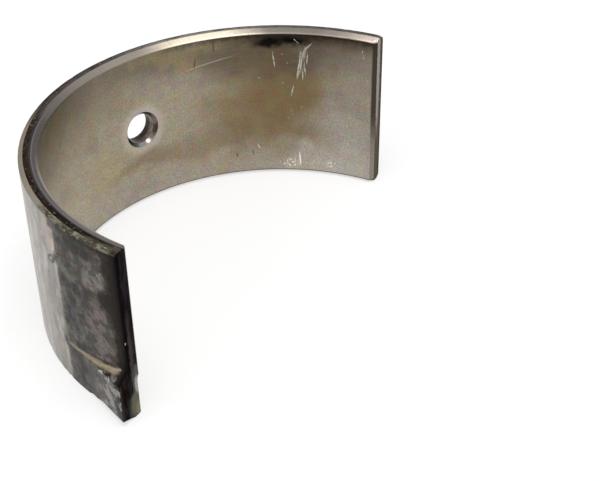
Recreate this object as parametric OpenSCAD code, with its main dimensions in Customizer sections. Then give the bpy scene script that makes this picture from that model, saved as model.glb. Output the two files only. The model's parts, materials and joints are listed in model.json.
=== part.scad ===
// Half shell of a split plain bearing, as fitted in the big end of an engine's connecting rod.
// A steel strip with a bearing metal lining is rolled to a half round, its edges are chamfered,
// an oil hole is drilled and countersunk, and a locating tang is pressed out at one parting face.
// The shell is shown free, sprung a little wider than the housing bore that it will be pressed into.
// The origin is on the bearing axis at mid width, with +Z along that axis and the crown of the arc at +Y.
// The shell stands on one end face, with the tang near that face at the -X parting face.

/* [Housing fit] */
// Bore of the housing that the back of the shell is pressed into
housing_d = 65; // [50:0.5:90]
// How much wider than the housing bore the shell springs when it is free
free_spread = 1; // [0.2:0.1:2.4]
// Height by which each parting face stands proud of the housing's joint, to be crushed when bolted up
crush = 0.04; // [0.01:0.01:0.12]

/* [Strip] */
// Thickness of the strip, steel back and lining together
wall = 2.5; // [2:0.1:4]
// Width of the strip along the bearing axis
width = 25; // [18:0.5:40]
// Width of the chamfer on the lining side, across each end face
lining_chamfer = 1.1; // [0.3:0.05:1.2]
// Width of the chamfer on the back side, across each end face
back_chamfer = 0.55; // [0.1:0.05:0.7]
// Angle of both chamfers to the end face
chamfer_angle = 20; // [10:1:45]

/* [Parting faces] */
// Leg of the bevel on the lining side of each parting face
parting_bevel = 0.6; // [0.2:0.05:1]
// Depth of the relief in the lining at each parting face
relief_depth = 0.05; // [0.02:0.01:0.1]
// Length of that relief along the lining
relief_length = 7; // [4:0.5:10]

/* [Oil hole] */
// Diameter of the oil hole
hole_d = 4.8; // [3:0.1:6.5]
// Width of the countersink around it, at the lining
sink_w = 0.5; // [0.2:0.1:1.2]
// Angle of the hole from the crown, away from the tang
hole_angle = 17; // [0:1:45]

/* [Locating tang] */
// Width of the tang's crest along the bearing axis
tang_w = 5.55; // [4:0.05:8]
// Height of the tang above the back, at the parting face
tang_height = 1.85; // [1.2:0.05:2.2]
// Length of the ramp that leads up to the tang, along the back
tang_length = 8; // [4:0.1:10]
// Slope of the tang's flank towards mid width, from upright
tang_draft = 38; // [10:1:45]
// Slope of the tang's flank towards the end face, from upright
tang_end_draft = 20; // [5:1:24]
// Distance from the lower end face to the tang's crest
tang_inset = 0.9; // [0.8:0.05:6]
// Depth of the pocket that the punch leaves in the lining behind the tang
pocket_depth = 0.9; // [0.7:0.05:1.4]
// How far inside the tang's crest the punch ends, towards mid width
punch_clearance = 0.6; // [0.1:0.05:1]
// How far past the tang's crest the punch reaches, towards the end face
punch_overlap = 1.5; // [0:0.1:3]

/* [Hidden] */
$fn = 180;

// Springing open keeps the strip's length, so the arc gets flatter by the same share as it gets shorter
spring = 1 - free_spread / housing_d;
back_r = housing_d / 2 / spring;
lining_r = back_r - wall;
mid_r = back_r - wall / 2;
half_angle = (90 + degrees(crush, housing_d / 2)) * spring;
tang_middle_z = -width / 2 + tang_inset + tang_w / 2;

// The relief is bored off centre: its circle is deepest at the parting face and leaves the lining at the
// relief's far end, which the cosine rule turns into the offset and the radius of the bore
relief_end = lining_r * cos(degrees(relief_length, lining_r));
relief_offset = relief_depth * (2 * lining_r + relief_depth) / 2 / (lining_r + relief_depth - relief_end);
relief_r = lining_r + relief_depth - relief_offset;

// The tang's crest is a ramp, which leans away from the back. Its flanks spread the most at the parting face,
// where the crest is highest above the back
ramp_start = on_arc(back_r, tang_length);
ramp_end = [back_r + tang_height, 0];
ramp_lean = atan2(ramp_end.x - ramp_start.x, ramp_end.y - ramp_start.y);
crest_height = tang_height * cos(ramp_lean);

// Overshoot of cutting shapes past the faces that they open through
margin = 1;

// Angle that a length along an arc spans
function degrees(length, radius) = length / radius * 180 / PI;

// Point at a radius, at a length along the back before the parting face
function on_arc(radius, length) =
    let (a = degrees(length, back_r))
    [radius * cos(a), -radius * sin(a)];

// Section of the strip, with its four chamfered edges
module strip_section() {
    top = width / 2;
    lining_top = top - lining_chamfer * tan(chamfer_angle);
    back_top = top - back_chamfer * tan(chamfer_angle);
    polygon([
        [lining_r + lining_chamfer, -top],
        [back_r - back_chamfer, -top],
        [back_r, -back_top],
        [back_r, back_top],
        [back_r - back_chamfer, top],
        [lining_r + lining_chamfer, top],
        [lining_r, lining_top],
        [lining_r, -lining_top]
    ]);
}

// Strip rolled to its free arc, with the crown at +Y
module rolled_strip() {
    rotate([0, 0, 90 - half_angle])
        rotate_extrude(angle = 2 * half_angle)
            strip_section();
}

// Puts a shape that is drawn at a parting face, with +X outwards and +Y past the face, at the tang's end
module at_tang_end() {
    rotate([0, 0, 90 + half_angle])
        children();
}

// Puts the same shape at the plain end, turned over
module at_plain_end() {
    mirror([1, 0, 0])
        at_tang_end()
            children();
}

// Height of the tang's upper and lower edge at a depth below its crest
function upper_flank(depth) = tang_middle_z + tang_w / 2 + depth * tan(tang_draft);
function lower_flank(depth) = tang_middle_z - tang_w / 2 - depth * tan(tang_end_draft);

// Tongue of the tang: a ramp that rises from the arc to its full height at the face, as wide as its foot there
module tang_ramp() {
    translate([0, 0, lower_flank(crest_height)])
        linear_extrude(upper_flank(crest_height) - lower_flank(crest_height))
            polygon([on_arc(mid_r, tang_length), ramp_start, ramp_end, [mid_r, 0]]);
}

// Bar along the ramp, with the tang's sloping flanks, that spreads from above the crest down into the strip
module tang_flanks() {
    bottom = tang_height + wall;
    translate([ramp_start.x, ramp_start.y, 0])
        rotate([90, 0, -ramp_lean])
            translate([0, 0, -2 * tang_length])
                linear_extrude(3 * tang_length)
                    polygon([
                        [margin, lower_flank(-margin)],
                        [margin, upper_flank(-margin)],
                        [-bottom, upper_flank(bottom)],
                        [-bottom, lower_flank(bottom)]
                    ]);
}

// Tang as it stands on the back
module tang() {
    intersection() {
        tang_ramp();
        tang_flanks();
    }
}

// Pocket that the punch leaves in the lining: the same ramp, open at the lining and at the face, and at the end
// face too where the punch reaches past it
module tang_pocket() {
    low = tang_middle_z - tang_w / 2 - punch_overlap;
    high = tang_middle_z + tang_w / 2 - punch_clearance;
    slope = pocket_depth / tang_length;
    translate([0, 0, low])
        linear_extrude(high - low)
            polygon([
                on_arc(lining_r - margin, tang_length),
                on_arc(lining_r, tang_length),
                [lining_r + pocket_depth + slope * margin, margin],
                [lining_r - margin, margin]
            ]);
}

// Bevel that takes the sharp edge off the lining at a parting face
module bevel_cut() {
    translate([0, 0, -width / 2 - margin])
        linear_extrude(width + 2 * margin)
            polygon([
                [lining_r - margin, -parting_bevel - margin],
                [lining_r + parting_bevel + margin, margin],
                [lining_r - margin, margin]
            ]);
}

// Bores that thin the lining a little towards each parting face
module relief_bores() {
    for (side = [-1, 1])
        translate([side * relief_offset, 0, -width / 2 - margin])
            cylinder(r = relief_r, h = width + 2 * margin);
}

// Oil hole through the middle of the strip, with a countersink at 45 degrees, sized where it meets the lining
module oil_hole() {
    rotate([0, 0, -hole_angle])
        rotate([-90, 0, 0])
            translate([0, 0, lining_r - margin]) {
                cylinder(d = hole_d, h = wall + 2 * margin);
                cylinder(d1 = hole_d + 2 * (sink_w + margin), d2 = hole_d, h = sink_w + margin);
            }
}

// The whole shell, a single piece of lined steel strip
module bearing_shell() {
    color("#8f897f")
        difference() {
            union() {
                rolled_strip();
                at_tang_end() tang();
            }
            at_tang_end() tang_pocket();
            at_tang_end() bevel_cut();
            at_plain_end() bevel_cut();
            relief_bores();
            oil_hole();
        }
}

bearing_shell();
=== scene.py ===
import json
import bpy
import numpy as np
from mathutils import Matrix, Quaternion, Vector


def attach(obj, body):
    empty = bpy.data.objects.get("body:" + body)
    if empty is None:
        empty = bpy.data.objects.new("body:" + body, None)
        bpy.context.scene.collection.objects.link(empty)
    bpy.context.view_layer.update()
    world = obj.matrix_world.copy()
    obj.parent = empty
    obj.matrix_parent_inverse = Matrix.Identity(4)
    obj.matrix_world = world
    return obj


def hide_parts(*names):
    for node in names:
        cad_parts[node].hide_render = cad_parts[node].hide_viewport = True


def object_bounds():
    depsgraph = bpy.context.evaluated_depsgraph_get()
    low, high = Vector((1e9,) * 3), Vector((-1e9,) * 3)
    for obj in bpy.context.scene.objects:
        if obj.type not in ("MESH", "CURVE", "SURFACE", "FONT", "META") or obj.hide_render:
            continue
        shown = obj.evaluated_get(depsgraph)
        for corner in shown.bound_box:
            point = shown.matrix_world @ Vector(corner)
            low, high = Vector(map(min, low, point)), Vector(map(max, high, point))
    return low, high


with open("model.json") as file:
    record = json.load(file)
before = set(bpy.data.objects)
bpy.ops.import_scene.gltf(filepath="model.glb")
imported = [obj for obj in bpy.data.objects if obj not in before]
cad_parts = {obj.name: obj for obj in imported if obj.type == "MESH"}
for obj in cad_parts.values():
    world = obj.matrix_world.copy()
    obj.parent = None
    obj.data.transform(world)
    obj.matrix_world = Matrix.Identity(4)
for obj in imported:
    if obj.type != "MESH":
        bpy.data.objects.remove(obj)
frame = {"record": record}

cad_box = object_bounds()

# Rolled strip
# The shell starts as steel strip with a lining of bearing metal bonded to one side. It is chamfered along
# its long edges and rolled, lining inwards, to a half round that springs a little wider than its housing.
MM = 0.001
mounts = {mount["name"]: mount for mount in frame["record"]["mounts"]}
journal = mounts["journal_bore"]["dims"]
width = (cad_box[1][2] - cad_box[0][2]) / MM
back_r = mounts["housing_seat"]["pos_m"][1] / MM
lining_r = journal["r_mm"]
half_angle = np.arccos(mounts["plain_parting_face"]["axis"][0])
arc_length = 2 * half_angle * back_r
chamfer_slope = np.tan(np.radians(20))
lining_chamfer = (width - journal["length_mm"]) / 2 / chamfer_slope
back_chamfer = 0.55
rim_r = (lining_r + lining_chamfer + back_r - back_chamfer) / 2
edge_easing = 0.07
easing_cells = 3
slope_cells = 3
rim_cells = 4

# Where the tang, the bevel and the oil hole need lines of the grid, in mm. The hole takes a square block of
# cells out of it, and the edge of the tang's pocket lies outside the punch by a share of its rounding.
tang_inset = 0.9
tang_w = 5.55
tang_low = -width / 2 + tang_inset
tang_high = tang_low + tang_w
tang_length = 8
tang_height = 1.85
flank_slope = np.tan(np.radians(38))
end_flank_slope = np.tan(np.radians(20))
flank_cells = 12
punch_clearance = 0.6
punch_rounding = 1.2
rounding_outside = 0.4
pocket_edge = tang_high - punch_clearance + rounding_outside * punch_rounding
parting_bevel = 0.6
hole_turn = np.arctan2(*mounts["oil_hole"]["axis"][:2])
hole_along = (half_angle + hole_turn) * back_r
hole_block = 4.2
block_cells = 24


def grid_lines(*stations):
    """Places of grid lines: even division of each stretch between stations of (place, cells before)."""
    stretches = zip(stations, stations[1:])
    parts = [np.linspace(a, b, cells, endpoint=False) for (a, _), (b, cells) in stretches]
    return np.concatenate(parts + [[stations[-1][0]]])


def eased_path(corners, cells):
    """Path along straight lines between corners. Each inner corner is replaced by a parabola that leaves
    and meets the lines one easing length away, and each straight is divided into its number of cells."""
    corners = np.array(corners, float)
    way = np.diff(corners, axis=0)
    way /= np.linalg.norm(way, axis=1, keepdims=True)
    t = np.linspace(0, 1, easing_cells + 1)[:, None]
    path, start = [], corners[0]
    for i in range(1, len(corners) - 1):
        enter = corners[i] - way[i - 1] * edge_easing
        leave = corners[i] + way[i] * edge_easing
        path.append(np.linspace(start, enter, cells[i - 1], endpoint=False))
        path.append((enter * (1 - t) ** 2 + corners[i] * 2 * t * (1 - t) + leave * t ** 2)[:-1])
        start = leave
    path.append(np.linspace(start, corners[-1], cells[-1] + 1))
    return np.concatenate(path)


def strip_side(face_r, chamfer, high_edge):
    """One side of the strip's section, as (radius, height) from the middle of the lower rim, round the
    chamfers and along the face, to the middle of the upper rim, and the number of cells up to the face. The
    chamfer is signed: it adds to the face's radius at the rim. The face has its own lines along the tang's
    high edge, and even ones elsewhere."""
    top = width / 2
    face_top = top - abs(chamfer) * chamfer_slope
    edge = eased_path([
        (face_r, face_top - edge_easing * 2),
        (face_r, face_top),
        (face_r + chamfer, top),
        (rim_r, top),
    ], cells=(1, slope_cells, rim_cells))
    end = edge[0, 1]
    heights = np.concatenate([
        grid_lines((-end, 0), (tang_low, 14), (high_edge[0], 14))[:-1],
        high_edge,
        grid_lines((high_edge[-1], 0), (-hole_block, 5), (hole_block, block_cells), (end, 18))[1:],
    ])
    face = np.stack([np.full_like(heights, face_r), heights], 1)
    return np.concatenate([(edge * (1, -1))[:0:-1], face, edge[1:]]), len(edge) - 1


def into_the_metal(side, facing):
    """Unit normals of a section's side that point into the metal: its direction turned by a right angle."""
    way = np.gradient(side, axis=0)
    way /= np.linalg.norm(way, axis=1, keepdims=True)
    return facing * np.stack([way[:, 1], -way[:, 0]], 1)


pressed_lines = np.linspace(0, 1, flank_cells + 1)
lining_side, edge_cells = strip_side(
    lining_r, lining_chamfer, pocket_edge - punch_rounding * (1 - pressed_lines) ** 2)
back_side, _ = strip_side(back_r, -back_chamfer, tang_high + tang_height * flank_slope * pressed_lines)
bevel_along = parting_bevel * back_r / lining_r
along = grid_lines(
    (0, 0),
    (edge_easing, 3),
    (bevel_along, 4),
    (tang_length, 36),
    (hole_along - hole_block, 110),
    (hole_along + hole_block, block_cells),
    (arc_length - bevel_along, 80),
    (arc_length - edge_easing, 4),
    (arc_length, 3),
)
turn = along / back_r - half_angle
from_tang = half_angle + turn
from_nearer_end = half_angle - np.abs(turn)
lining = np.repeat(lining_side[None], len(along), 0)
back = np.repeat(back_side[None], len(along), 0)

# Locating tang
# At one parting face a punch presses a tongue of the strip outwards, to lie in a notch of the housing. The
# tongue rises as a ramp with sloping flanks. The punch leaves a pocket in the lining, down to the end face.
pocket_depth = 0.9
flank_rounding = 0.12
foot_rounding = 0.05
ramp_reach = 1.5


def ramp(radius, height, sunk=0.0):
    """Radius of a straight ramp in plan, from a circle at the tang's length up to a height above the circle
    at the parting face, sunk by a depth square to itself: the line's distance from the axis, less the depth,
    over the cosine of the angle to its normal. Past its reach it is held where it has sunk into the strip."""
    start = tang_length / back_r
    foot = np.array([radius * np.cos(start), -radius * np.sin(start)])
    way = np.array([radius + height, 0]) - foot
    way /= np.linalg.norm(way)
    angle = np.minimum(from_tang, ramp_reach * start)[:, None]
    from_axis = way[1] * foot[0] - way[0] * foot[1]
    return (from_axis - sunk) / (way[1] * np.cos(angle) + way[0] * np.sin(angle))


def above_zero(x, rounding):
    """x where it is above 0 and else 0, with the corner rounded: half the sum of x and its root mean square
    with the rounding."""
    return (x + np.hypot(x, rounding)) / 2


def pressed(height):
    """Share of the punch's full stroke across the strip: 0 above the pocket's edge and 1 below, with
    a quarter ellipse as wide as the punch's rounding that starts upright at the edge."""
    return np.sqrt(1 - (1 - np.clip((pocket_edge - height) / punch_rounding, 0, 1)) ** 2)


below_crest = above_zero((back_side[:, 1] - tang_high) / flank_slope, flank_rounding)
below_crest += above_zero((tang_low - back_side[:, 1]) / end_flank_slope, flank_rounding)
back[..., 0] += above_zero(ramp(back_r, tang_height, below_crest) - back_r, foot_rounding)
beside_tang = (along < tang_length)[:, None]
pocket = np.maximum(ramp(lining_r, pocket_depth) - lining_r, 0) * beside_tang
lining[..., 0] = np.maximum(lining[..., 0], lining_r + pocket * pressed(lining_side[:, 1]))

# Relief and bevels at the parting faces
# The lining is bored a few hundredths deeper towards each parting face, so that a small step between two
# shells can't scrape the oil film off, and its edge there is bevelled.
relief_depth = 0.05
relief_length = 7
relief_fall = lining_r * (1 - np.cos(relief_length / lining_r)) + relief_depth
relief_offset = relief_depth * (2 * lining_r + relief_depth) / 2 / relief_fall
relief_r = lining_r + relief_depth - relief_offset
beside = np.pi / 2 - np.abs(turn)
relief = relief_offset * np.cos(beside) + np.sqrt(relief_r ** 2 - (relief_offset * np.sin(beside)) ** 2)
bevel_reach = np.minimum(from_nearer_end, 2 * bevel_along / back_r)
bevel = (lining_r + parting_bevel) / (np.cos(bevel_reach) + np.sin(bevel_reach))
lining[..., 0] = np.maximum(lining[..., 0], np.maximum(relief, bevel)[:, None])

# Wear of the edges
# Handling has eased every edge of the steel a little, nicked the outer ones, most of all near the tang, and
# worn down the outer corners of the plain end.
nick_depth = 0.12
nick_pitch = 1.6
nick_reach = 0.35
nick_threshold = 0.7
row_pitch = 0.12
nicked_length = 30
nick_fade = 20
nicks_elsewhere = 0.25
corner_wear = 0.22
corner_reach = 0.9


def smooth(x):
    """0 below 0 and 1 above 1, with an S curve of the third degree between."""
    x = np.clip(x, 0, 1)
    return x * x * (3 - 2 * x)


def uneven(u, v, pitch, seed, waves=16):
    """Smooth unevenness of about unit size: the sum of plane waves of random direction, each from 0.6 to 1.7
    pitches long, over the square root of half their number."""
    draw = np.random.default_rng(seed)
    heading, shift = draw.uniform(0, 2 * np.pi, (2, waves))
    number = 2 * np.pi / (pitch * draw.uniform(0.6, 1.7, waves))
    phase = u[..., None] * np.cos(heading) * number + v[..., None] * np.sin(heading) * number + shift
    return np.sin(phase).sum(-1) / np.sqrt(waves / 2)


def drawn_in(distance):
    """How far a surface draws in towards an end that is rounded off by a quarter circle."""
    short = np.clip(edge_easing - distance, 0, edge_easing)
    return edge_easing - np.sqrt(edge_easing ** 2 - short ** 2)


end_inset = drawn_in(from_nearer_end * back_r)[:, None]
lining += end_inset[..., None] * into_the_metal(lining_side, 1)
back_edge = width / 2 - back_chamfer * chamfer_slope
outer_edge = smooth((np.abs(back_side[:, 1]) - back_edge) / nick_reach + 1)
outer_edge *= smooth((back_side[:, 0] - rim_r) / nick_reach)
u, v = np.meshgrid(along, np.cumsum(np.full(len(back_side), row_pitch)), indexing="ij")
nicks = np.clip(uneven(u, v, nick_pitch, seed=4) - nick_threshold, 0, 1) * nick_depth
nearer_tang = nicks_elsewhere + (1 - nicks_elsewhere) * smooth((nicked_length - along) / nick_fade)
nearer_tang *= smooth(from_nearer_end * back_r / nick_reach)
from_edge = np.hypot(back_r - back_side[:, 0], width / 2 - np.abs(back_side[:, 1]))
from_corner = np.hypot((arc_length - along)[:, None], from_edge)
worn = nicks * nearer_tang[:, None] * outer_edge + corner_wear * smooth(1 - from_corner / corner_reach)
to_the_middle = np.stack([-np.ones(len(back_side)), -np.sign(back_side[:, 1])], 1) / np.sqrt(2)
back += end_inset[..., None] * into_the_metal(back_side, -1) + worn[..., None] * to_the_middle

# Both sides end along the middle of the rims, on the same points
back[:, [0, -1]] = lining[:, [0, -1]]

# Oil hole
# A hole drilled square through steel and lining, which lets oil from the rod's drilling reach the journal.
# Its edge in the lining is countersunk.
hole_r = mounts["oil_hole"]["dims"]["r_mm"]
sink_w = 0.5
mouth_rows = 12
mouth_spacing = 0.8
wall_rows = 5
hole_axis = np.array([np.sin(hole_turn), np.cos(hole_turn), 0])
hole_side = np.array([np.cos(hole_turn), -np.sin(hole_turn), 0])
upwards = np.array([0, 0, 1])


def bent(radius, angle, height):
    """Points of the bent strip from their radius, their angle from the crown and their height."""
    return np.stack(np.broadcast_arrays(radius * np.sin(angle), radius * np.cos(angle), height), -1)


def block_ring(values):
    """Values around the square block of cells that the hole takes out of a grid, as one closed row."""
    block = values[first_turn:last_turn + 1, first_height:last_height + 1]
    return np.concatenate([block[:-1, 0], block[-1, :-1], block[:0:-1, -1], block[0, :0:-1]])


def around_hole(grid, radius, mouth_r):
    """Strip's surface from the block's outline in to the mouth of the hole, and its places on the map: each
    point moves straight from the outline to the point of the mouth that lies in the same direction from the
    hole's axis, in rows that get closer by a power of their number."""
    outline_turn, outline_height = block_ring(turn_grid) - hole_turn, block_ring(grid[..., 1])
    mouth_turn = np.arcsin(mouth_r * np.cos(hole_direction) / radius)
    mouth_height = mouth_r * np.sin(hole_direction)
    share = np.linspace(0, 1, mouth_rows)[:, None] ** mouth_spacing
    angle = hole_turn + outline_turn * (1 - share) + mouth_turn * share
    height = outline_height * (1 - share) + mouth_height * share
    return bent(radius, angle, height), np.stack([angle * radius, height], -1)


first_turn = np.argmin(np.abs(along - hole_along + hole_block))
last_turn = first_turn + block_cells
first_height = np.argmin(np.abs(lining_side[:, 1] + hole_block))
last_height = first_height + block_cells
turn_grid = np.repeat(turn[:, None], len(lining_side), 1)
ring_across = lining_r * np.sin(block_ring(turn_grid) - hole_turn)
hole_direction = np.arctan2(block_ring(lining[..., 1]), ring_across)
lining_mouth, lining_mouth_places = around_hole(lining, lining_r, hole_r + sink_w)
back_mouth, back_mouth_places = around_hole(back, back_r, hole_r)
hole_circle = np.cos(hole_direction)[:, None] * hole_side + np.sin(hole_direction)[:, None] * upwards
sink_bottom = (lining_r + sink_w) * hole_axis + hole_r * hole_circle
share = np.linspace(0, 1, wall_rows)[:, None, None]
countersink = lining_mouth[-1] * (1 - share) + sink_bottom * share
hole_wall = sink_bottom * (1 - share) + back_mouth[-1] * share

# Shell as one closed mesh
# Lining side, back side, parting faces and oil hole are grids that share their outlines, so they weld to
# one closed skin. Its map gives millimetres along the arc and across the strip.
FINISHES = ["lining", "cut_edge", "rim", "back", "outer_edge", "parting_face", "countersink", "hole_wall"]
weld_digits = 5
sharp_angle = np.radians(32)
surfaces = []


def add_surface(points, places, finish, facing, keep=True):
    """Keeps a grid of points, its places on the map and the finish of its cells, until the mesh is welded.
    facing is 1 where the cells turn outwards as they are, and keep marks the cells that stay."""
    rows, columns = points.shape[:2]
    shape = (rows - 1, columns - 1)
    number = np.arange(rows * columns).reshape(rows, columns)
    cells = np.stack([number[:-1, :-1], number[1:, :-1], number[1:, 1:], number[:-1, 1:]], -1)
    cells = cells[..., ::facing]
    keep = np.broadcast_to(keep, shape)
    surfaces.append((
        points.reshape(-1, 3),
        places.reshape(-1, 2),
        cells[keep],
        np.broadcast_to(finish, shape)[keep],
    ))


def closed(row):
    """A closed row of points with its first point repeated at the end."""
    return np.concatenate([row, row[:, :1]], 1)


def side_finish(face, chamfer):
    """Finish of each cell along a side of the section: rim, chamfer, face, chamfer, rim."""
    rim = np.full(rim_cells, FINISHES.index("rim"))
    slope = np.full(edge_cells - rim_cells, FINISHES.index(chamfer))
    middle = np.full(len(lining_side) - 1 - 2 * edge_cells, FINISHES.index(face))
    return np.concatenate([rim, slope, middle, slope, rim])


def side_places(side, radius):
    """Places on the map: length along the arc, and length along the section from its middle."""
    length = np.concatenate([[0], np.cumsum(np.linalg.norm(np.diff(side, axis=0), axis=1))])
    middle = np.interp(0, side[edge_cells:-edge_cells, 1], length[edge_cells:-edge_cells])
    return np.stack(np.meshgrid(turn * radius, length - middle, indexing="ij"), -1)


outside_block = np.ones((len(along) - 1, len(lining_side) - 1), bool)
outside_block[first_turn:last_turn, first_height:last_height] = False
lining_points = bent(lining[..., 0], turn_grid, lining[..., 1])
back_points = bent(back[..., 0], turn_grid, back[..., 1])
add_surface(lining_points, side_places(lining_side, lining_r), side_finish("lining", "cut_edge"), 1,
            outside_block)
add_surface(back_points, side_places(back_side, back_r), side_finish("back", "outer_edge"), -1,
            outside_block)
lining_mouth[0] = block_ring(lining_points)
back_mouth[0] = block_ring(back_points)
round_hole = np.unwrap(hole_direction) * hole_r
round_hole = np.append(round_hole, round_hole[0] + 2 * np.pi * hole_r)
depths = np.linspace(0, back_r - lining_r, wall_rows)
hole_places = np.stack(np.meshgrid(round_hole, depths), -1)
add_surface(closed(lining_mouth), closed(lining_mouth_places), FINISHES.index("lining"), -1)
add_surface(closed(countersink), hole_places, FINISHES.index("countersink"), -1)
add_surface(closed(hole_wall), hole_places, FINISHES.index("hole_wall"), -1)
add_surface(closed(back_mouth), closed(back_mouth_places), FINISHES.index("back"), 1)

# Each parting face is ruled from the lining's outline to the back's, and begins and ends along the rims
across = np.linspace(0, 1, 2 * rim_cells + 1)[:, None]
for end, facing in ((0, 1), (-1, -1)):
    inner, outer = lining_points[end], back_points[end]
    rungs = inner[:, None] * (1 - across) + outer[:, None] * across
    rungs[:, -1] = outer
    rungs = rungs[rim_cells:-rim_cells]
    rungs[0] = np.concatenate([inner[rim_cells:0:-1], outer[:rim_cells + 1]])
    rungs[-1] = np.concatenate([inner[-1 - rim_cells:-1], outer[:-2 - rim_cells:-1]])
    depth = np.linalg.norm(rungs[..., :2], axis=-1) - lining_r
    places = np.stack([depth * -facing, rungs[..., 2]], -1)
    add_surface(rungs, places, FINISHES.index("parting_face"), facing)

# Points that are the same to a hundred-thousandth of a millimetre become one, and a cell that loses a corner
# by that stays as a triangle
counts = np.cumsum([0] + [len(points) for points, _, _, _ in surfaces])
corners = np.concatenate([cells + start for (_, _, cells, _), start in zip(surfaces, counts)])
finishes = np.concatenate([finish for _, _, _, finish in surfaces])
places = np.concatenate([place for _, place, _, _ in surfaces])
points = np.concatenate([point for point, _, _, _ in surfaces])
_, kept, welded = np.unique(np.round(points, weld_digits), axis=0, return_index=True, return_inverse=True)
welded_corners = welded.reshape(-1)[corners]
fresh = welded_corners != np.roll(welded_corners, 1, axis=1)
whole = fresh.sum(1) > 2
faces = [face[new].tolist() for face, new in zip(welded_corners[whole], fresh[whole])]
shell_mesh = bpy.data.meshes.new("bearing_shell_skin")
shell_mesh.from_pydata((points[kept] * MM).tolist(), [], faces)
strip_map = shell_mesh.uv_layers.new(name="strip_mm")
strip_map.uv.foreach_set("vector", places[corners[whole][fresh[whole]]].astype(np.float32).ravel())
shell_mesh.polygons.foreach_set("material_index", finishes[whole].astype(np.int32))
shell_mesh.shade_smooth()
shell_mesh.set_sharp_from_angle(angle=sharp_angle)
shell = bpy.data.objects.new("bearing_shell_skin", shell_mesh)
bpy.context.collection.objects.link(shell)
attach(shell, "root")
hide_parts("bearing_shell")

# Lining finish
# Grey bearing alloy, run in by the journal to a smooth satin that shines softly. Hot oil has left straw,
# brown and violet tints on it and a black smear near one edge, and taking it out has scratched it.


def linear(code):
    """Linear colour of an sRGB hex code, by the standard's two-part curve."""
    value = np.array([int(code[i:i + 2], 16) for i in (1, 3, 5)]) / 255
    value = np.where(value <= 0.04045, value / 12.92, ((value + 0.055) / 1.055) ** 2.4)
    return (*value.tolist(), 1.0)


def add_node(tree, kind, inputs=None, **settings):
    """Adds a node to a tree, sets its properties, and sets each input to a value or links it to a node."""
    node = tree.nodes.new(kind)
    for name, value in settings.items():
        setattr(node, name, value)
    for key, value in (inputs or {}).items():
        socket = node.inputs[key] if isinstance(key, int) else next(
            s for s in node.inputs if s.name == key and s.enabled)
        if isinstance(value, bpy.types.Node):
            value = next(s for s in value.outputs if s.enabled)
        if isinstance(value, bpy.types.NodeSocket):
            tree.links.new(value, socket)
        else:
            socket.default_value = value
    return node


def start_finish(name):
    """New metal on the shell, with its shader and the strip's map in millimetres."""
    material = bpy.data.materials.new(name)
    material.use_nodes = True
    tree = material.node_tree
    shader = tree.nodes["Principled BSDF"]
    shader.inputs["Metallic"].default_value = 1.0
    strip = add_node(tree, "ShaderNodeUVMap", uv_map="strip_mm")
    shell_mesh.materials.append(material)
    return tree, shader, strip


def clouds(tree, at, blotch, low, high, stretch=(1, 1), detail=3.0):
    """Mask of cloudy blotches: a noise with blotches of a size in millimetres, drawn out by the stretch,
    that counts as 0 below its low value and as 1 above its high one. Each finer layer of the noise is 0.6 as
    strong as the one before, and detail is the number of them."""
    scale = (1 / blotch / stretch[0], 1 / blotch / stretch[1], 1)
    place = add_node(tree, "ShaderNodeMapping", {"Vector": at, "Scale": scale})
    noise = add_node(tree, "ShaderNodeTexNoise", {
        "Vector": place, "Scale": 1.0, "Detail": detail, "Roughness": 0.6}, noise_dimensions="2D")
    return add_node(tree, "ShaderNodeMapRange", {"Value": noise, "From Min": low, "From Max": high},
                    interpolation_type="SMOOTHSTEP")


def ragged(tree, at, blotch, reach):
    """Places moved about by a noise with blotches of a size in millimetres, by up to half a reach each way,
    so that what is drawn there gets ragged edges."""
    place = add_node(tree, "ShaderNodeMapping", {"Vector": at, "Scale": (1 / blotch, 1 / blotch, 1)})
    noise = add_node(tree, "ShaderNodeTexNoise", {"Vector": place, "Scale": 1.0, "Detail": 5.0},
                     noise_dimensions="2D")
    offset = add_node(tree, "ShaderNodeVectorMath", {0: noise.outputs["Color"], 1: (0.5, 0.5, 0.5)},
                      operation="SUBTRACT")
    return add_node(tree, "ShaderNodeVectorMath", {0: offset, 1: (reach, reach, 0), 2: at},
                    operation="MULTIPLY_ADD")


def zone(tree, at, axis, start, full):
    """Mask along one axis of the strip, which rises from 0 at its start to 1 where it is full."""
    place = add_node(tree, "ShaderNodeSeparateXYZ", {"Vector": at})
    return add_node(tree, "ShaderNodeMapRange", {
        "Value": place.outputs[axis], "From Min": start, "From Max": full}, interpolation_type="SMOOTHSTEP")


def oval(tree, at, centre, half_size, lean=0.0, hardness=1.2):
    """Mask of an oval mark: 1 in its middle and 0 outside, with an S curve between that is shorter the
    harder the mark is. Its half sizes are in millimetres and its first axis leans by an angle in degrees."""
    place = add_node(tree, "ShaderNodeMapping", {
        "Vector": at,
        "Location": (*centre, 0),
        "Rotation": (0, 0, np.radians(lean)),
        "Scale": (*half_size, 1),
    }, vector_type="TEXTURE")
    ball = add_node(tree, "ShaderNodeTexGradient", {"Vector": place}, gradient_type="SPHERICAL")
    return add_node(tree, "ShaderNodeMapRange", {"Value": ball, "From Max": 1 / hardness},
                    interpolation_type="SMOOTHSTEP")


def scratch(tree, at, start, end, half_w):
    """Mask of a scratch between two places: a long thin oval."""
    (u0, v0), (u1, v1) = start, end
    middle = ((u0 + u1) / 2, (v0 + v1) / 2)
    half_length = np.hypot(u1 - u0, v1 - v0) / 2 + half_w
    return oval(tree, at, middle, (half_length, half_w), np.degrees(np.arctan2(v1 - v0, u1 - u0)), 2.0)


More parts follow.
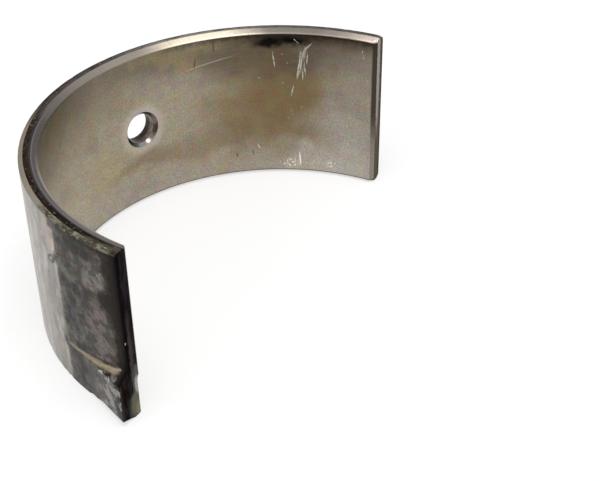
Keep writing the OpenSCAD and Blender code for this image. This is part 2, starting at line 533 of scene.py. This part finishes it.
def combined(tree, operation, masks):
    """Several masks as one, by an operation on each in turn: MAXIMUM keeps the strongest of them at each
    point, and MULTIPLY keeps where they overlap. A mask may also be a number, the same all over."""
    found = masks[0]
    for mask in masks[1:]:
        found = add_node(tree, "ShaderNodeMath", {0: found, 1: mask}, operation=operation)
    return found


def coats(tree, colour, layers):
    """Lays thin coats of colour over a first one, in order. A coat is a mask, its colour and its weight."""
    for mask, code, weight in layers:
        share = add_node(tree, "ShaderNodeMath", {0: mask, 1: weight}, operation="MULTIPLY")
        colour = add_node(tree, "ShaderNodeMix", {"Factor": share, "A": colour, "B": linear(code)},
                          data_type="RGBA")
    return colour


def heat_tints(tree, at, colour, blotch, weight):
    """Lays thin tints over a colour: a noise of its own in red, green and blue, with blotches of a size in
    millimetres, as soft light."""
    place = add_node(tree, "ShaderNodeMapping", {"Vector": at, "Scale": (1 / blotch, 1 / blotch, 1)})
    noise = add_node(tree, "ShaderNodeTexNoise", {"Vector": place, "Scale": 1.0, "Detail": 2.0},
                     noise_dimensions="2D")
    return add_node(tree, "ShaderNodeMix", {"Factor": weight, "A": colour, "B": noise.outputs["Color"]},
                    data_type="RGBA", blend_type="SOFT_LIGHT")


def finish(tree, shader, colour, roughness, relief=None, depth=0.0):
    """Links a colour, a roughness between two values by a mask, and a bump of a depth in millimetres."""
    tree.links.new(next(s for s in colour.outputs if s.enabled), shader.inputs["Base Color"])
    mask, low, high = roughness
    gloss = add_node(tree, "ShaderNodeMapRange", {"Value": mask, "To Min": low, "To Max": high})
    tree.links.new(gloss.outputs["Result"], shader.inputs["Roughness"])
    if relief:
        bump = add_node(tree, "ShaderNodeBump", {"Height": relief, "Distance": depth * MM, "Strength": 1.0})
        tree.links.new(bump.outputs["Normal"], shader.inputs["Normal"])


tree, shader, strip = start_finish("run_in_bearing_alloy")
wavy = ragged(tree, strip, 6.0, 7.0)
torn = ragged(tree, strip, 0.8, 0.9)

# The alloy's grain and the journal's polishing lines are a few hundredths of a millimetre wide. They are
# drawn 0.3 mm wide, which is as coarse as they need to be to show
grain = clouds(tree, strip, 0.3, 0.3, 0.7, detail=2.0)
polish = clouds(tree, strip, 0.3, 0.5, 0.8, stretch=(18, 1), detail=2.0)
hole_place = (hole_turn * lining_r, 0)
colour = coats(tree, linear("#A89E8A"), [
    # Paler towards the tang, grey along the lower edge and darker along the upper one
    (zone(tree, wavy, "X", 10.0, -14.0), "#BBB19B", 0.7),
    (zone(tree, wavy, "Y", -5.5, -12.0), "#AAA195", 0.85),
    (zone(tree, wavy, "Y", 2.5, 12.0), "#6B6253", 0.8),
    (oval(tree, wavy, (-2.0, 8.5), (14.0, 8.0)), "#A69C8A", 0.35),
    (oval(tree, wavy, (18.0, 9.5), (13.0, 5.0)), "#6B6253", 0.4),
    # Straw and violet tints, and stains of straw and brown that are strongest short of the plain end
    (clouds(tree, strip, 7.0, 0.48, 0.7), "#A8946A", 0.35),
    (clouds(tree, strip, 4.0, 0.52, 0.72, stretch=(2, 1)), "#8A8083", 0.35),
    (oval(tree, wavy, (2.0, -3.8), (6.5, 3.6)), "#B5A27A", 0.55),
    (oval(tree, wavy, (10.0, -5.6), (11.0, 2.8), lean=2.0), "#7A6249", 0.5),
    (oval(tree, wavy, (22.0, -5.5), (12.0, 4.0)), "#7D6A4B", 0.4),
    (oval(tree, wavy, (31.5, 0.5), (17.0, 13.0)), "#78633F", 0.9),
    (oval(tree, wavy, (32.0, -5.5), (14.0, 4.5)), "#7D6A4B", 0.45),
    (oval(tree, wavy, (32.0, 8.5), (17.0, 6.0)), "#4A3D2E", 0.7),
    # Plain end, pale below and dark above
    (zone(tree, wavy, "X", 36.0, 44.0), "#9D968B", 0.6),
    (oval(tree, wavy, (42.0, -11.0), (13.0, 7.0)), "#BFB8B0", 0.75),
    (oval(tree, wavy, (41.5, -3.6), (8.5, 4.5)), "#B4AEA6", 0.55),
    (oval(tree, wavy, (41.0, 6.5), (8.0, 4.0)), "#6E6258", 0.25),
    (oval(tree, wavy, (42.0, 12.0), (9.0, 5.0)), "#54483D", 0.7),
    # Polish, fine mottle and grain, and the bright ring round the oil hole
    (polish, "#C4BCAE", 0.05),
    (clouds(tree, strip, 0.9, 0.38, 0.66), "#6A6152", 0.12),
    (grain, "#5F574A", 0.3),
    (oval(tree, strip, hole_place, (4.8, 4.8), hardness=3.0), "#C9C2BA", 0.4),
])
colour = heat_tints(tree, strip, colour, 1.8, 0.22)
edge_dirt = combined(tree, "MULTIPLY", [
    zone(tree, torn, "Y", 10.8, 12.1), zone(tree, wavy, "X", 6.0, 26.0)])
smear = combined(tree, "MAXIMUM", [
    oval(tree, torn, (30.5, 10.6), (3.6, 1.25), lean=5.0, hardness=1.4),
    oval(tree, torn, (34.0, 10.9), (3.8, 1.0), lean=-4.0, hardness=1.25),
])
scratches = combined(tree, "MAXIMUM", [scratch(tree, strip, *ends, 0.1) for ends in (
    ((35.4, 9.8), (34.7, 3.6)),
    ((35.7, 9.2), (35.0, 4.8)),
    ((35.2, 8.2), (34.6, 4.2)),
    ((35.8, 7.0), (36.1, 4.9)),
    ((35.6, 6.2), (35.6, 4.1)),
    ((36.4, 9.0), (36.2, 6.9)),
    ((35.6, 9.0), (37.2, 10.8)),
    ((34.2, 11.2), (35.0, 10.4)),
    ((30.9, 9.3), (31.3, 6.1)),
    ((34.2, 3.4), (33.7, 1.2)),
    ((28.2, -7.0), (28.7, -8.2)),
    ((45.0, 10.6), (45.3, 8.9)),
)])
chips = combined(tree, "MAXIMUM", [oval(tree, strip, place, (0.2, 0.16), hardness=1.6) for place in (
    (33.2, 7.1), (32.4, 8.6), (28.8, 4.6), (32.5, 3.7), (35.4, -0.5), (33.8, -1.2), (33.3, -2.5),
    (45.9, 5.5), (33.1, -10.8), (33.6, -10.2), (40.0, -10.6), (45.4, -8.0), (44.6, -9.8),
)])
# Bright specks near the lower edge towards the plain end: painted glints
glint_specks = combined(tree, "MULTIPLY", [
    combined(tree, "MAXIMUM", [
        oval(tree, strip, (33.5, -10.7), (2.0, 1.3), hardness=1.6),
        oval(tree, strip, (40.2, -10.7), (1.4, 1.1), hardness=1.6),
    ]),
    clouds(tree, strip, 0.4, 0.54, 0.62),
])
rubbed_patch = combined(tree, "MULTIPLY", [
    oval(tree, strip, (35.5, 7.6), (1.0, 3.4), lean=-5.0),
    clouds(tree, strip, 0.5, 0.45, 0.65, stretch=(1, 4)),
])
dark_ticks = combined(tree, "MAXIMUM", [scratch(tree, strip, *ends, 0.14) for ends in (
    ((18.9, 9.3), (18.6, 7.4)),
    ((21.8, 11.6), (21.9, 9.7)),
    ((24.8, -8.5), (24.9, -9.2)),
    ((27.4, -8.2), (27.6, -9.1)),
)])
colour = coats(tree, colour, [
    # Dirt and the black smear along the upper edge
    (edge_dirt, "#251D16", 0.85),
    (combined(tree, "MULTIPLY", [zone(tree, torn, "Y", 9.6, 12.2), zone(tree, wavy, "X", 24.0, 34.0)]),
     "#2E261F", 0.55),
    (oval(tree, torn, (25.0, 11.3), (4.5, 1.8)), "#3A3128", 0.4),
    (oval(tree, torn, (33.0, 11.7), (10.0, 2.4), hardness=1.3), "#261F1B", 0.65),
    (smear, "#0C0B0B", 0.95),
    # Two faint scratches, then the bright ones, rubbed places, and bright specks towards the plain end that
    # are painted glints
    (scratch(tree, strip, (15.8, 7.2), (26.0, 8.9), 0.13), "#CFC8BA", 0.3),
    (scratch(tree, strip, (-6.0, -4.9), (-4.0, -6.9), 0.12), "#C2BAA6", 0.35),
    (combined(tree, "MULTIPLY", [scratches, clouds(tree, strip, 0.7, 0.3, 0.55)]), "#DAD6CD", 0.75),
    (scratch(tree, strip, (35.0, -8.5), (35.2, -11.4), 0.16), "#ECE8DC", 0.95),
    (rubbed_patch, "#C4BFB4", 0.5),
    (scratch(tree, strip, (35.7, 8.5), (36.1, 10.0), 0.24), "#BDBAB4", 0.45),
    (chips, "#D6D2C8", 0.25),
    (glint_specks, "#ECE8DC", 0.85),
    # Dark ticks, a dark line along the lower edge, and dirt in the plain end's bevel
    (dark_ticks, "#2E2822", 0.65),
    (zone(tree, strip, "Y", -11.75, -12.05), "#4A463C", 0.35),
    (zone(tree, strip, "X", 46.6, 46.8), "#6E655A", 0.6),
    (combined(tree, "MULTIPLY", [zone(tree, strip, "X", 46.5, 46.8), zone(tree, wavy, "Y", -7.0, 2.0)]),
     "#2E2620", 0.85),
])
relief = add_node(tree, "ShaderNodeMath", {0: grain, 1: polish}, operation="ADD")
finish(tree, shader, colour, (grain, 0.36, 0.48), relief, 0.004)

# Cut edges
# The chamfers are cut through the lining into the steel with a form tool, which leaves them bright, and past
# the crown and at the plain end a painted highlight makes them paler still. Oil has dulled them to a dark
# violet grey towards the tang, with a thin worn line beside the rim.
tree, shader, strip = start_finish("form_cut_steel")
wavy = ragged(tree, strip, 4.0, 4.0)

# The tool's marks are less than 0.1 mm apart, and are drawn at 0.3 mm to show
tool_marks = clouds(tree, strip, 0.3, 0.35, 0.75, stretch=(1, 4))
chamfer_middle = width / 2 + 0.2
chamfer_w = np.hypot(lining_chamfer, lining_chamfer * chamfer_slope)
clean_share = 0.8
lining_edge = width / 2 - lining_chamfer * chamfer_slope
dirt_edge = lining_edge + clean_share * chamfer_w
dulled = zone(tree, wavy, "X", -6.0, -16.0)
lining_left = combined(tree, "MULTIPLY", [
    zone(tree, strip, "Y", lining_edge + 0.45, lining_edge + 0.2),
    zone(tree, wavy, "X", -20.0, -30.0),
])
colour = coats(tree, linear("#948D82"), [
    # Dark from the crown to the tang; past the crown and again at the plain end, bright cut steel under a
    # painted highlight
    (zone(tree, wavy, "X", 8.0, -18.0), "#403A3B", 0.95),
    (zone(tree, wavy, "X", -30.0, -47.0), "#5E585A", 0.9),
    (zone(tree, wavy, "X", 27.0, 33.0), "#78726A", 0.85),
    # Cream oval past the crown: a painted highlight over bright cut steel
    (oval(tree, wavy, (20.4, chamfer_middle), (10.6, 20.0), hardness=1.4), "#F8EBD3", 0.97),
    (zone(tree, wavy, "X", 37.5, 49.0), "#E4D2C5", 0.95),
    # Lining left along its edge, the chamfer at the lower rim darker, and the tool's marks
    (lining_left, "#A0978A", 0.8),
    (zone(tree, strip, "Y", 0.0, -1.0), "#57534B", 0.9),
    (tool_marks, "#6E6862", 0.3),
    # Worn line, and beyond it the rim's black
    (combined(tree, "MULTIPLY", [zone(tree, strip, "Y", dirt_edge - 0.2, dirt_edge - 0.1), dulled]),
     "#9A949C", 0.25),
    (combined(tree, "MULTIPLY", [zone(tree, strip, "Y", dirt_edge - 0.05, dirt_edge + 0.05), dulled]),
     "#1B1616", 0.95),
])
finish(tree, shader, colour, (tool_marks, 0.3, 0.42))

# Rims
# The narrow end faces between the chamfers are steel, left as the strip was slit. Baked oil has turned them
# black to brown, and they are rubbed to a dull grey in places.
tree, shader, strip = start_finish("slit_steel_with_baked_oil")
wavy = ragged(tree, strip, 4.0, 8.0)
oiled_shine = linear("#BCB8B4")
shader.inputs["Specular Tint"].default_value = oiled_shine
rubbed = clouds(tree, strip, 0.7, 0.5, 0.75, stretch=(3, 1), detail=5.0)
colour = coats(tree, linear("#241E1B"), [
    (zone(tree, wavy, "X", -43.0, -46.5), "#5A534A", 0.8),
    (zone(tree, wavy, "X", -34.0, -22.0), "#3B2F28", 0.8),
    (zone(tree, wavy, "X", -18.0, -2.0), "#585153", 0.9),
    (zone(tree, wavy, "X", 8.0, 22.0), "#6A6664", 0.85),
    (oval(tree, wavy, (20.0, chamfer_middle), (15.0, 20.0), hardness=1.5), "#94908C", 0.75),
    (rubbed, "#6B675F", 0.3),
    (clouds(tree, strip, 0.8, 0.5, 0.62, stretch=(2, 1), detail=6.0), "#0F0C0A", 0.5),
    (clouds(tree, strip, 0.5, 0.66, 0.72), "#A39F96", 0.6),
])
finish(tree, shader, colour, (rubbed, 0.4, 0.55))

# Back of the shell
# Plain rolled steel, polished silvery where it lay tight in the housing. Near the parting faces, where it
# lay less tight, burnt oil has stained it dark and patchy. The tang's sheared flank shows tan, bare steel
# with a painted highlight, under a painted shadow line along its root.
tree, shader, strip = start_finish("oil_stained_rolled_steel")
wavy = ragged(tree, strip, 2.5, 1.6)
torn = ragged(tree, strip, 0.9, 1.1)

# The grain of rolled steel is about 0.1 mm, and is drawn at 0.5 mm to show
grain = clouds(tree, strip, 0.5, 0.36, 0.62, detail=5.0)
mottle = clouds(tree, strip, 2.6, 0.4, 0.58, detail=9.0)
scuffs = clouds(tree, strip, 1.6, 0.46, 0.58, detail=9.0)
silver = coats(tree, linear("#8C867D"), [
    # Paler away from the stained end, with one bright patch and two dull ones beside it
    (zone(tree, wavy, "X", -37.0, -33.5), "#ADA8A0", 0.85),
    (oval(tree, wavy, (-38.4, 9.0), (2.2, 4.0), hardness=2.0), "#C3B8AC", 0.85),
    (oval(tree, wavy, (-36.7, 1.6), (1.0, 2.8)), "#7C767C", 0.7),
    (oval(tree, wavy, (-38.2, -4.2), (2.0, 2.2)), "#86867A", 0.7),
    # Streaks across the strip, clouds of straw and violet, and grain
    (clouds(tree, strip, 1.4, 0.42, 0.62, stretch=(1, 5), detail=6.0), "#6A6662", 0.62),
    (clouds(tree, strip, 2.0, 0.5, 0.64, stretch=(1, 4), detail=5.0), "#C4BCB4", 0.62),
    (clouds(tree, strip, 3.0, 0.48, 0.62, detail=5.0), "#6F6C63", 0.4),
    (clouds(tree, strip, 5.0, 0.5, 0.66), "#A99A84", 0.45),
    (clouds(tree, strip, 3.5, 0.52, 0.68, stretch=(1, 2)), "#958C92", 0.3),
    (zone(tree, wavy, "X", -31.0, -20.0), "#9B968E", 0.65),
    (grain, "#65615D", 0.3),
])
stain = coats(tree, linear("#3E3C38"), [
    # Mottled grey, with worn pale patches towards the end
    (mottle, "#747068", 0.72),
    (zone(tree, wavy, "X", -43.5, -46.0), "#6E6560", 0.55),
    (oval(tree, torn, (-48.6, 10.8), (1.1, 0.9), hardness=2.0), "#77726C", 0.7),
    (oval(tree, torn, (-47.2, 7.2), (2.6, 2.1), lean=-15.0, hardness=2.5), "#8F8A82", 0.5),
    (oval(tree, torn, (-47.3, -1.0), (3.2, 6.0), hardness=2.5), "#7C746F", 0.55),
    # Patches and scuffs of burnt oil, dark, olive and brown
    (oval(tree, torn, (-42.2, 0.0), (2.0, 4.0), lean=8.0), "#3A3B3D", 0.65),
    (oval(tree, torn, (-44.0, 6.8), (1.8, 1.6)), "#4A493C", 0.6),
    (oval(tree, torn, (-44.8, 11.0), (4.5, 1.8), hardness=2.0), "#37362F", 0.7),
    (scuffs, "#262420", 0.58),
    (oval(tree, torn, (-48.9, 4.8), (1.8, 2.0), lean=-30.0, hardness=2.0), "#25231C", 0.85),
    (oval(tree, torn, (-46.3, 5.1), (2.0, 0.9), lean=-12.0), "#3A302F", 0.75),
    (oval(tree, torn, (-49.0, 9.4), (0.8, 0.7)), "#3A2C20", 0.8),
    (oval(tree, torn, (-41.0, 8.3), (1.4, 0.5), lean=-10.0), "#5E4630", 0.7),
    (combined(tree, "MULTIPLY", [zone(tree, torn, "Y", 11.3, 12.1), zone(tree, wavy, "X", -41.0, -45.0)]),
     "#24211B", 0.8),
    (oval(tree, torn, (-49.6, -2.3), (0.7, 1.8)), "#5A4E38", 0.7),
    # Grain, and black along the parting face
    (grain, "#211F1C", 0.28),
    (combined(tree, "MULTIPLY", [zone(tree, torn, "X", -48.3, -49.2), zone(tree, wavy, "Y", -1.0, 3.0)]),
     "#231F19", 0.8),
    (zone(tree, torn, "X", -49.2, -50.1), "#211A15", 0.95),
    (zone(tree, strip, "X", -50.3, -50.8), "#0A0807", 0.9),
])
stained = combined(tree, "MAXIMUM", [
    zone(tree, wavy, "X", -39.3, -40.1),
    oval(tree, torn, (-39.5, -5.6), (1.2, 2.6)),
    oval(tree, torn, (-39.7, 6.6), (0.9, 1.4)),
    oval(tree, torn, (-39.9, 11.8), (2.0, 1.4), hardness=1.6),
    combined(tree, "MULTIPLY", [zone(tree, wavy, "X", 40.0, 44.5), 0.6]),
])
colour = add_node(tree, "ShaderNodeMix", {"Factor": stained, "A": silver, "B": stain}, data_type="RGBA")
colour = heat_tints(tree, strip, colour, 1.4, 0.32)
tang_crest = combined(tree, "MULTIPLY", [zone(tree, torn, "Y", tang_high, tang_high - 0.7), stained])
# Tan band of the sheared flank: bare steel, partly a painted highlight where light falls on it
bared_and_lit = combined(tree, "MAXIMUM", [scratch(tree, strip, *mark) for mark in (
    ((-39.8, -6.05), (-43.0, -5.9), 0.4),
    ((-41.5, -5.98), (-45.5, -5.72), 0.44),
    ((-44.0, -5.82), (-48.0, -5.46), 0.42),
    ((-46.5, -5.6), (-50.0, -5.22), 0.36),
)])
ring_hollow = oval(tree, torn, (-38.2, 5.9), (0.7, 0.45), lean=-25.0, hardness=1.6)
ring_mark = combined(tree, "MULTIPLY", [
    oval(tree, strip, (-38.3, 5.9), (1.3, 0.75), lean=-25.0, hardness=3.0),
    add_node(tree, "ShaderNodeMath", {0: 1.0, 1: ring_hollow}, operation="SUBTRACT"),
])
crest_spots = clouds(tree, strip, 1.3, 0.46, 0.58, detail=7.0)
crest_rubbed = combined(tree, "MULTIPLY", [tang_crest, zone(tree, wavy, "X", -44.0, -48.5), scuffs])
colour = coats(tree, colour, [
    # Crest of the tang, spotted and rubbed
    (combined(tree, "MULTIPLY", [tang_crest, mottle]), "#6E6A66", 0.25),
    (oval(tree, torn, (-45.6, -7.6), (2.0, 1.8)), "#3A353A", 0.65),
    (combined(tree, "MULTIPLY", [tang_crest, crest_spots]), "#2C292B", 0.45),
    (crest_rubbed, "#A5A29D", 0.65),
    # Its sheared flank, tan between two dark lines. The tan is bare steel with a painted highlight where
    # light falls on the flank, the upper dark line along its root is a painted shadow, and the pale specks
    # along the crest's edge below are painted glints.
    (scratch(tree, torn, (-43.0, -5.4), (-50.0, -4.6), 0.3), "#2A2520", 0.7),
    (combined(tree, "MULTIPLY", [bared_and_lit, zone(tree, wavy, "X", -37.5, -41.5)]), "#8E836C", 0.95),
    (combined(tree, "MULTIPLY", [bared_and_lit, clouds(tree, strip, 1.2, 0.5, 0.62, detail=5.0)]), "#6E6654", 0.5),
    (oval(tree, torn, (-49.6, -4.9), (0.5, 0.3), hardness=2.0), "#8F8F89", 0.7),
    (oval(tree, torn, (-49.4, -5.85), (0.8, 0.18), lean=-8.0, hardness=2.0), "#7E7E79", 0.7),
    (scratch(tree, torn, (-46.5, -6.1), (-51.0, -5.95), 0.24), "#1A1714", 0.85),
    (combined(tree, "MULTIPLY", [
        scratch(tree, torn, (-46.0, -6.4), (-50.0, -6.3), 0.4), clouds(tree, strip, 0.5, 0.55, 0.62)]),
     "#C9C8C2", 0.8),
    # Dark ring on the silver
    (ring_mark, "#262422", 0.9),
])
relief = add_node(tree, "ShaderNodeMath", {0: grain, 1: scuffs}, operation="ADD")
finish(tree, shader, colour, (stained, 0.32, 0.5), relief, 0.005)

# Outer edges
# The chamfers on the back are cut in the same pass as those on the lining. They have dulled to a dark or
# olive grey, and handling has flaked the dirt off them near the tang, where pale specks are painted glints.
tree, shader, strip = start_finish("flaked_steel_edge")
wavy = ragged(tree, strip, 3.0, 4.0)
shader.inputs["Specular Tint"].default_value = oiled_shine
flakes = clouds(tree, strip, 0.8, 0.42, 0.56, stretch=(2, 1), detail=7.0)
flaked = zone(tree, wavy, "X", -35.0, -39.0)
colour = coats(tree, linear("#8C8578"), [
    (zone(tree, wavy, "X", -18.0, -8.0), "#2C2726", 0.95),
    (zone(tree, wavy, "X", 4.0, 20.0), "#46423F", 0.9),
    (flaked, "#706E5C", 0.8),
    (combined(tree, "MULTIPLY", [flakes, flaked]), "#2E2C24", 0.8),
    # Pale specks where the dirt has flaked off, made brighter as painted glints
    (combined(tree, "MULTIPLY", [clouds(tree, strip, 0.6, 0.6, 0.7, stretch=(2, 1), detail=5.0), flaked]),
     "#B0AD9C", 0.7),
    (zone(tree, wavy, "X", -49.0, -50.8), "#25211A", 0.85),
])
finish(tree, shader, colour, (flakes, 0.4, 0.55))

# Parting faces
# The ends of the strip, broached square. The face at the tang is black with oil, pale grey, olive and tan
# behind the tang, and the plain one is rubbed bright along its middle.
tree, shader, strip = start_finish("broached_steel")
torn = ragged(tree, strip, 0.8, 0.5)
shader.inputs["Specular Tint"].default_value = oiled_shine

# The broach's lines are less than 0.1 mm apart, and are drawn at 0.4 mm to show
broached = clouds(tree, strip, 0.4, 0.42, 0.62, stretch=(1, 8), detail=6.0)
colour = coats(tree, linear("#1B181C"), [
    # Face at the tang, black with grey and olive places
    (oval(tree, torn, (-1.6, -4.0), (0.5, 9.0), hardness=1.5), "#4A453F", 0.8),
    (zone(tree, torn, "X", -2.1, -2.5), "#171114", 0.9),
    (zone(tree, torn, "X", -3.7, -4.3), "#3C3A28", 0.7),
    (broached, "#3E3C40", 0.4),
    (combined(tree, "MULTIPLY", [zone(tree, torn, "X", -1.7, -2.1), zone(tree, torn, "Y", -6.0, -4.5)]),
     "#100D0F", 0.85),
    (oval(tree, strip, (-2.36, -0.55), (0.16, 0.24), hardness=2.0), "#A9A9A4", 0.9),
    # Grey places behind the tang, pale above and olive and tan below
    (oval(tree, torn, (-1.0, -5.7), (0.55, 1.5), hardness=2.0), "#625F62", 0.8),
    (oval(tree, torn, (-1.7, -7.0), (0.3, 2.6), hardness=2.0), "#50534E", 0.8),
    (oval(tree, torn, (-2.3, -10.9), (0.8, 2.4), hardness=1.6), "#4E524C", 0.75),
    (oval(tree, torn, (-1.6, -10.6), (1.1, 2.8), hardness=2.0), "#6C6B5A", 0.85),
    (oval(tree, torn, (-1.1, -7.7), (0.5, 1.8), hardness=2.0), "#ADAEA7", 0.85),
    (oval(tree, torn, (-1.2, -11.5), (0.6, 1.6), hardness=2.0), "#877F68", 0.85),
    # Plain face, bright along its middle and dark towards the back
    (zone(tree, strip, "X", 0.1, 0.3), "#635C51", 0.9),
    (oval(tree, torn, (1.15, 6.5), (0.6, 13.0), hardness=2.0), "#A9A59F", 0.9),
    (zone(tree, torn, "X", 1.9, 2.3), "#2E2A28", 0.85),
])
finish(tree, shader, colour, (broached, 0.4, 0.5))

# Countersink and wall of the oil hole
# Drilled and countersunk steel, ridged round by the tools, with brown oil left in it. The ridges are a few
# hundredths of a millimetre apart, and are drawn at 0.12 and 0.15 mm to show.
tree, shader, strip = start_finish("countersunk_steel")
ridges = clouds(tree, strip, 0.12, 0.35, 0.7, stretch=(20, 1))
colour = coats(tree, linear("#7F7672"), [
    (clouds(tree, strip, 2.0, 0.45, 0.65), "#4F4741", 0.6),
    (ridges, "#5F5853", 0.4),
    (oval(tree, strip, (-0.4, 0.3), (1.4, 1.2)), "#39322E", 0.35),
    # Painted highlights: the lower part of the countersink, which faces up, lit pale bluish grey, and a pale
    # glint below and to the right
    (oval(tree, strip, (-5.0, 1.2), (1.6, 2.5)), "#9A9EA0", 0.7),
    (oval(tree, strip, (-3.9, 1.2), (0.8, 2.5)), "#8A8E92", 0.7),
    (oval(tree, strip, (-2.75, 1.2), (0.5, 1.6)), "#DEDACF", 0.85),
])
finish(tree, shader, colour, (ridges, 0.25, 0.35))
tree, shader, strip = start_finish("drilled_steel")
ridges = clouds(tree, strip, 0.15, 0.35, 0.7, stretch=(20, 1))
colour = coats(tree, linear("#7C756A"), [
    (clouds(tree, strip, 1.2, 0.45, 0.6), "#4A3A2B", 0.7),
    (ridges, "#8A8277", 0.3),
    (oval(tree, strip, (-3.6, 0.8), (2.4, 2.4)), "#372B29", 0.7),
    (zone(tree, strip, "Y", 0.6, 1.5), "#1F1811", 0.85),
])
finish(tree, shader, colour, (ridges, 0.35, 0.45))

# Floor, light and camera
# A plain white table of matt paint, which the shell stands on by one rim, under soft light from above and
# from the left. The camera stands where the photograph was taken from.
floor_z = cad_box[0][2]
floor_half = 2.0
table_glow = 0.6
sky_light = 0.55


def shows_white(tree):
    """1 for rays that show the surroundings to the camera, in metal or through glass, and else 0."""
    rays = add_node(tree, "ShaderNodeLightPath")
    shown = rays.outputs["Is Camera Ray"]
    for kind in ("Is Glossy Ray", "Is Transmission Ray"):
        shown = add_node(tree, "ShaderNodeMath", {0: shown, 1: rays.outputs[kind]}, operation="ADD",
                         use_clamp=True)
    return shown


floor_mesh = bpy.data.meshes.new("table")
floor_corners = [(x * floor_half, y * floor_half, floor_z) for x, y in ((-1, -1), (1, -1), (1, 1), (-1, 1))]
floor_mesh.from_pydata(floor_corners, [], [(0, 1, 2, 3)])
floor = bpy.data.objects.new("table", floor_mesh)
bpy.context.collection.objects.link(floor)
table_paint = bpy.data.materials.new("white_table")
table_paint.use_nodes = True
tree = table_paint.node_tree
paint = tree.nodes["Principled BSDF"]
paint.inputs["Base Color"].default_value = linear("#F4F4F4")
paint.inputs["Roughness"].default_value = 0.8
glow_share = add_node(tree, "ShaderNodeMath", {0: shows_white(tree), 1: table_glow}, operation="MULTIPLY")
glow = add_node(tree, "ShaderNodeEmission", {"Color": (1, 1, 1, 1), "Strength": 1.0})
mixed = add_node(tree, "ShaderNodeMixShader", {0: glow_share, 1: paint.outputs["BSDF"], 2: glow})
tree.links.new(mixed.outputs["Shader"], tree.nodes["Material Output"].inputs["Surface"])
floor_mesh.materials.append(table_paint)

world = bpy.data.worlds.new("studio")
world.use_nodes = True
tree = world.node_tree
strength = add_node(tree, "ShaderNodeMapRange", {
    "Value": shows_white(tree), "To Min": sky_light, "To Max": 1.0})
tree.nodes["Background"].inputs["Color"].default_value = (1, 1, 1, 1)
tree.links.new(strength.outputs["Result"], tree.nodes["Background"].inputs["Strength"])
bpy.context.scene.world = world


def add_lamp(name, place, target, size, power):
    """Square soft lamp at a place, facing a target. Its side is in metres and its power in watts."""
    light = bpy.data.lights.new(name, "AREA")
    light.size = size
    light.energy = power
    lamp = bpy.data.objects.new(name, light)
    lamp.location = place
    lamp.rotation_euler = (Vector(target) - Vector(place)).to_track_quat("-Z", "Y").to_euler()
    bpy.context.collection.objects.link(lamp)


add_lamp("softbox_above", place=(-0.1, -0.1, 0.6), target=(0, 0, 0), size=0.5, power=3.0)
add_lamp("softbox_left", place=(-0.55, 0.25, 0.25), target=(0, 0, 0), size=0.35, power=1.2)

photo_w = 600
focal_px = 1197.1
sensor = 36.0
camera_azimuth = np.radians(-59.35)
camera_elevation = np.radians(34.72)
camera_roll = np.radians(-0.488)
camera_distance = 179.79 * MM
camera_target = Vector((10.79 * MM, 2.51 * MM, floor_z))
away = Vector((
    np.sin(camera_azimuth) * np.cos(camera_elevation),
    -np.cos(camera_azimuth) * np.cos(camera_elevation),
    np.sin(camera_elevation),
))
lens = bpy.data.cameras.new("camera")
lens.sensor_width = sensor
lens.lens = focal_px / photo_w * sensor
lens.clip_start = 5 * MM
camera = bpy.data.objects.new("camera", lens)
camera.location = camera_target + away * camera_distance
camera.rotation_mode = "QUATERNION"
camera.rotation_quaternion = away.to_track_quat("Z", "Y") @ Quaternion((0, 0, 1), camera_roll)
bpy.context.collection.objects.link(camera)
bpy.context.scene.camera = camera
bpy.context.scene.view_settings.view_transform = "Standard"
